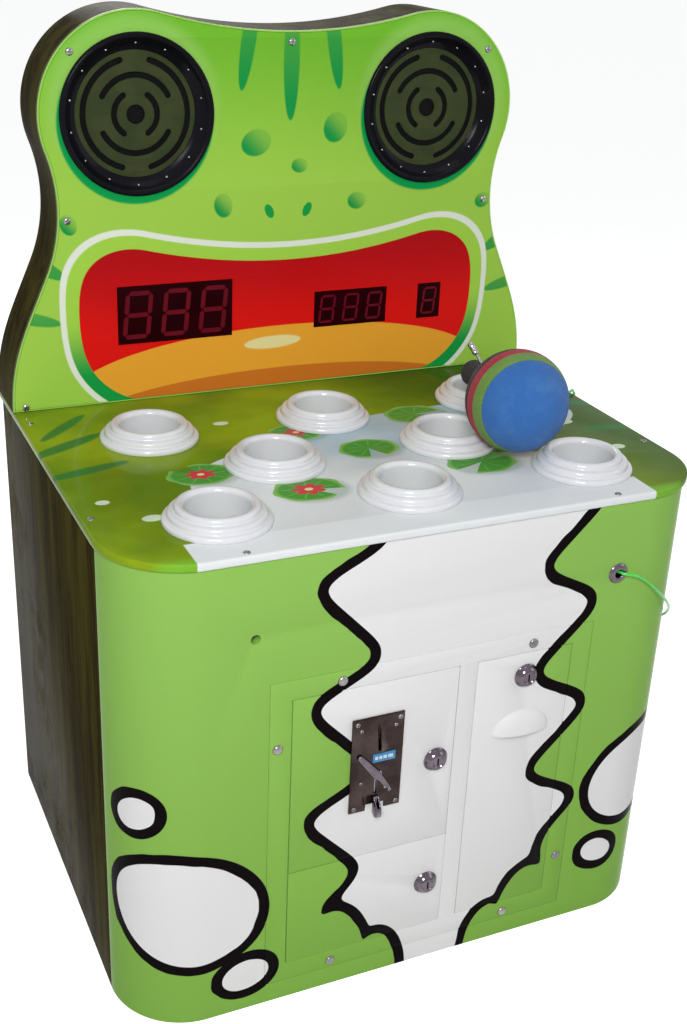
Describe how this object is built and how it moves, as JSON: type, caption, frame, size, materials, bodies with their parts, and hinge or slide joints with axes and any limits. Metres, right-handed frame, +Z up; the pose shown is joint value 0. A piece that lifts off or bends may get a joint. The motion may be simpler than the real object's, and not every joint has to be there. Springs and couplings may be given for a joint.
{
  "type": "hammer arcade machine",
  "caption": "Floor-standing hammer game cabinet with pop-up targets in ringed holes, hinged front doors, a shaped headboard with round speaker eyes, and a tethered foam hammer.",
  "frame": {"origin": "on the floor at the centre of the cabinet's footprint, under the base board", "axes": "+Z up, +Y from the front towards the headboard, +X to the right as seen by the player"},
  "size_m": [0.7361, 0.5789, 1.0841],
  "materials": {
    "bare_wood": "bare plywood",
    "green_print": "glossy printed skin on board",
    "face_print": "glossy printed skin on board",
    "dark_laminate": "glossy dark laminate on board",
    "deck_print": "glossy printed skin on board",
    "white_paint": "glossy white",
    "ring_plastic": "glossy white",
    "target_plastic": "semi-gloss green",
    "mirror_chrome": "polished",
    "dark_chrome": "polished, dark",
    "zinc_steel": "zinc plated",
    "black_plastic": "glossy black",
    "grille_paint": "satin dark olive",
    "speaker_paper": "matt black",
    "display_acrylic": "smoked red window",
    "circuit_board": "solder mask",
    "blue_foam": "matt closed-cell foam",
    "green_foam": "matt closed-cell foam",
    "red_foam": "matt closed-cell foam",
    "black_foam": "matt black",
    "green_rope": "coated wire rope"
  },
  "bodies": {
    "cabinet": {"base_board": "bare_wood", "front_panel": "green_print", "left_side_panel": "dark_laminate", "right_side_panel": "dark_laminate", "rear_panel": "dark_laminate", "deck_frame": "bare_wood", "deck_board": "deck_print", "carrier_board": "bare_wood", "front_drive": "zinc_steel", "middle_drive": "zinc_steel", "back_drive": "zinc_steel", "door_frame": "white_paint", "cash_box": "zinc_steel", "eyelet": "mirror_chrome", "headboard_shell": "dark_laminate", "headboard_face": "face_print", "left_eye_bezel": "black_plastic", "right_eye_bezel": "black_plastic", "left_eye_grille": "grille_paint", "right_eye_grille": "grille_paint", "left_speaker": "speaker_paper", "right_speaker": "speaker_paper", "score_display": "display_acrylic", "target_display": "display_acrylic", "credit_display": "display_acrylic", "main_board": "circuit_board", "power_supply": "zinc_steel", "power_inlet": "black_plastic", "ring_1": "ring_plastic", "ring_2": "ring_plastic", "ring_3": "ring_plastic", "ring_4": "ring_plastic", "ring_5": "ring_plastic", "ring_6": "ring_plastic", "ring_7": "ring_plastic", "ring_8": "ring_plastic", "tether": "green_rope"},
    "coin_door": {"coin_door": "white_paint", "coin_plate": "dark_chrome", "coin_mech": "zinc_steel", "return_scoop": "dark_chrome"},
    "cash_door": {"cash_door": "white_paint"},
    "service_door": {"service_door": "white_paint"},
    "coin_lock": {"coin_lock": "mirror_chrome"},
    "cash_lock": {"cash_lock": "mirror_chrome"},
    "service_lock": {"service_lock": "mirror_chrome"},
    "reject_lever": {"reject_lever": "mirror_chrome"},
    "hammer": {"foam_blue": "blue_foam", "foam_green": "green_foam", "foam_red": "red_foam", "hammer_grip": "black_foam", "tether_ferrule": "mirror_chrome"},
    "target_1": {"target_1": "target_plastic"},
    "target_2": {"target_2": "target_plastic"},
    "target_3": {"target_3": "target_plastic"},
    "target_4": {"target_4": "target_plastic"},
    "target_5": {"target_5": "target_plastic"},
    "target_6": {"target_6": "target_plastic"},
    "target_7": {"target_7": "target_plastic"},
    "target_8": {"target_8": "target_plastic"}
  },
  "joints": [
    {"name": "coin_door_hinge", "type": "hinge", "parent": "cabinet", "child": "coin_door", "pos_m": [-0.167, -0.2785, 0.1858], "axis": [0, 0, -1], "range_deg": [0, 110]},
    {"name": "cash_door_hinge", "type": "hinge", "parent": "cabinet", "child": "cash_door", "pos_m": [-0.167, -0.2785, 0.053], "axis": [0, 0, -1], "range_deg": [0, 110]},
    {"name": "service_door_hinge", "type": "hinge", "parent": "cabinet", "child": "service_door", "pos_m": [0.124, -0.2785, 0.059], "axis": [1, 0, 0], "range_deg": [0, 90]},
    {"name": "coin_lock_turn", "type": "hinge", "parent": "coin_door", "child": "coin_lock", "pos_m": [0.011, -0.2795, 0.3], "axis": [0, -1, 0], "range_deg": [0, 90]},
    {"name": "cash_lock_turn", "type": "hinge", "parent": "cash_door", "child": "cash_lock", "pos_m": [0.011, -0.2795, 0.119], "axis": [0, -1, 0], "range_deg": [0, 90]},
    {"name": "service_lock_turn", "type": "hinge", "parent": "service_door", "child": "service_lock", "pos_m": [0.124, -0.2795, 0.39], "axis": [0, -1, 0], "range_deg": [0, 90]},
    {"name": "reject_lever_turn", "type": "hinge", "parent": "coin_door", "child": "reject_lever", "pos_m": [-0.06885, -0.2831, 0.303], "axis": [0, -1, 0], "range_deg": [0, 20], "stiffness_Nm_per_rad": 0.05, "springref_deg": -20.05},
    {"name": "hammer_lift", "type": "slide", "parent": "cabinet", "child": "hammer", "axis": [0, 0, 1], "range_m": [0, 0.15]},
    {"name": "target_1_rise", "type": "slide", "parent": "cabinet", "child": "target_1", "axis": [0, 0, 1], "range_m": [0, 0.066]},
    {"name": "target_2_rise", "type": "slide", "parent": "cabinet", "child": "target_2", "axis": [0, 0, 1], "range_m": [0, 0.066]},
    {"name": "target_3_rise", "type": "slide", "parent": "cabinet", "child": "target_3", "axis": [0, 0, 1], "range_m": [0, 0.066]},
    {"name": "target_4_rise", "type": "slide", "parent": "cabinet", "child": "target_4", "axis": [0, 0, 1], "range_m": [0, 0.066]},
    {"name": "target_5_rise", "type": "slide", "parent": "cabinet", "child": "target_5", "axis": [0, 0, 1], "range_m": [0, 0.066]},
    {"name": "target_6_rise", "type": "slide", "parent": "cabinet", "child": "target_6", "axis": [0, 0, 1], "range_m": [0, 0.066]},
    {"name": "target_7_rise", "type": "slide", "parent": "cabinet", "child": "target_7", "axis": [0, 0, 1], "range_m": [0, 0.066]},
    {"name": "target_8_rise", "type": "slide", "parent": "cabinet", "child": "target_8", "axis": [0, 0, 1], "range_m": [0, 0.066]}
  ]
}
